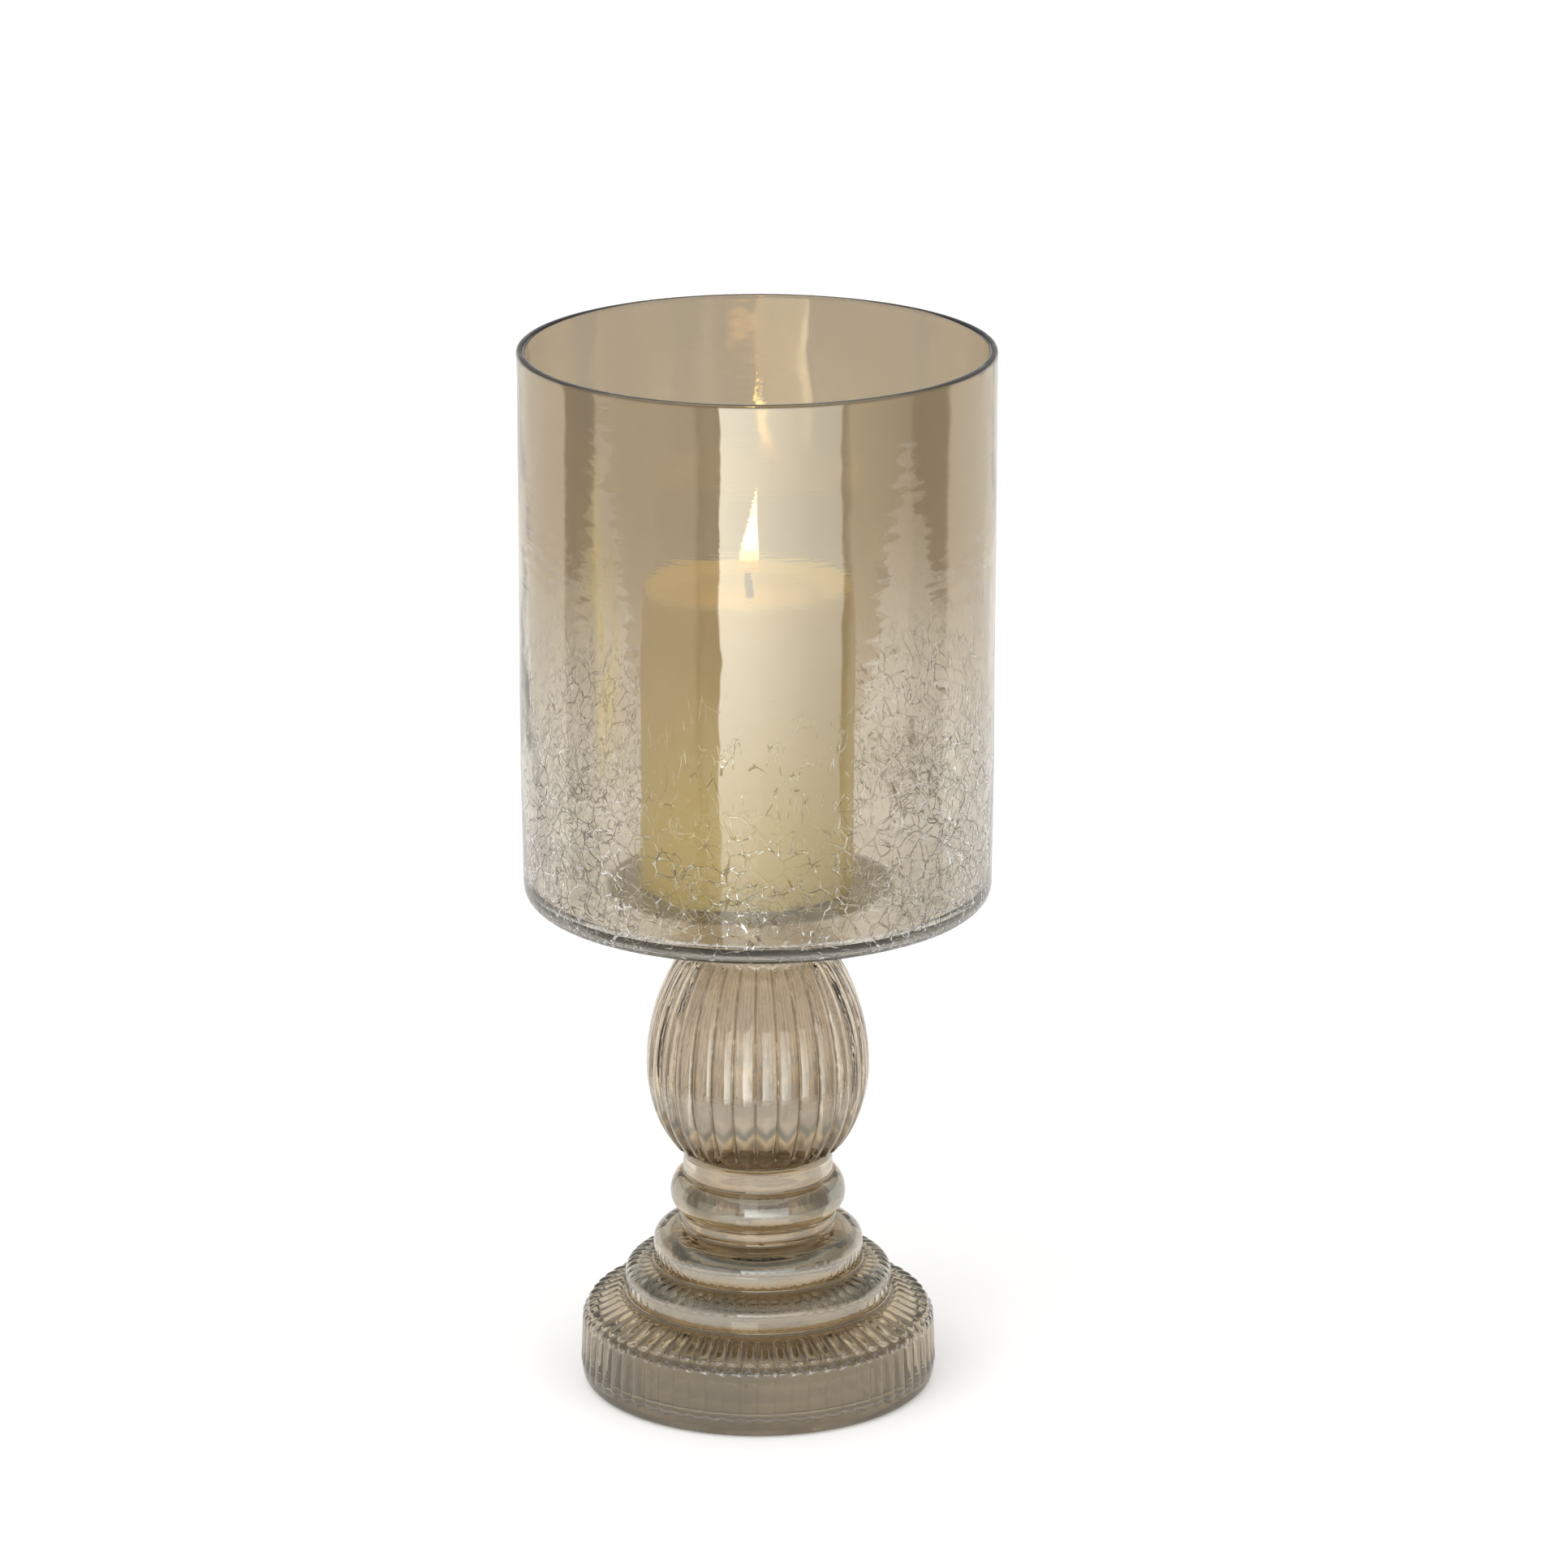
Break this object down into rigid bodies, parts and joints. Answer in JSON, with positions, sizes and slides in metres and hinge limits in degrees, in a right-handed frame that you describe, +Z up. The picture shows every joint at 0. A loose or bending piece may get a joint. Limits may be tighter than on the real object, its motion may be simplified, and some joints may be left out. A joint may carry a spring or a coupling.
{
  "type": "hurricane candle lantern",
  "caption": "Crackled smoke-glass hurricane cylinder on a hollow fluted glass pedestal, holding a pillar candle that lifts out of the top.",
  "frame": {"origin": "middle of the pedestal's resting face, on the table", "axes": "+Z up along the lantern's axis, towards the open rim; -Y is the front"},
  "size_m": [0.1524, 0.1524, 0.347],
  "materials": {
    "crackle_glass": "crackled inside the wall, smoke lustre that fades towards the floor",
    "clear_adhesive": "clear and glossy",
    "pedestal_glass": "ribbed and fluted, warm smoke lustre",
    "candle_wax": "satin ivory wax",
    "wick_cotton": "braided, charred at the tip",
    "tin_plate": "stamped, satin"
  },
  "bodies": {
    "lantern": {"shade": "crackle_glass", "bond_ring": "clear_adhesive", "pedestal": "pedestal_glass"},
    "candle": {"candle": "candle_wax", "wick": "wick_cotton", "wick_sustainer": "tin_plate"}
  },
  "joints": [
    {"name": "candle_lift", "type": "slide", "parent": "lantern", "child": "candle", "axis": [0, 0, 1], "range_m": [0, 0.19]}
  ]
}
